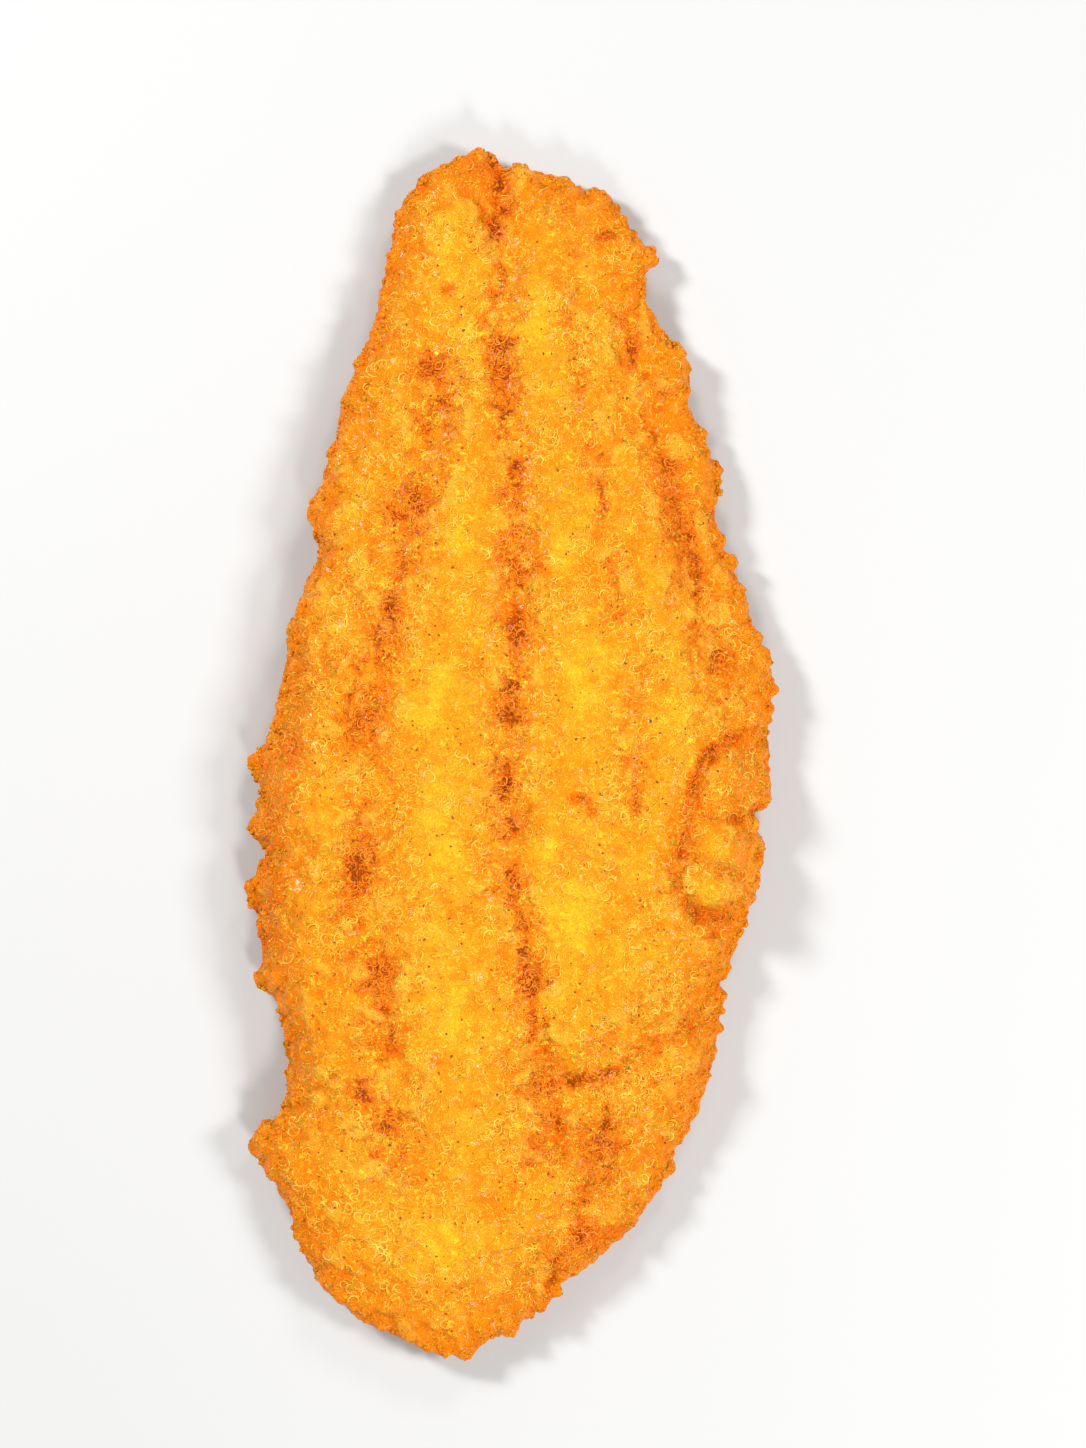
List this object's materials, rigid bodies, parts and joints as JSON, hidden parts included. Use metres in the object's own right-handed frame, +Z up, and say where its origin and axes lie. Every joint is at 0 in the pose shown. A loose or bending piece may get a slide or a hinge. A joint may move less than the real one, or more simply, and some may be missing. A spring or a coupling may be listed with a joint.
{
  "type": "fried fish fillet",
  "caption": "Battered, deep-fried fish fillet lying flat: a long leaf-shaped slab with shallow lengthwise grooves, a curled belly flap and a knobbly crust edge.",
  "frame": {"origin": "centre of the bounding box in plan, at the level of the flat underside", "axes": "+Y along the fillet towards its narrow tail end, +X towards its thin belly edge, +Z up, away from the surface it lies on"},
  "size_m": [0.1112, 0.255, 0.019],
  "materials": {
    "crust": "golden fried batter with an oily sheen, browner in its grooves and rim"
  },
  "bodies": {
    "root": {"fillet": "crust"}
  },
  "joints": []
}
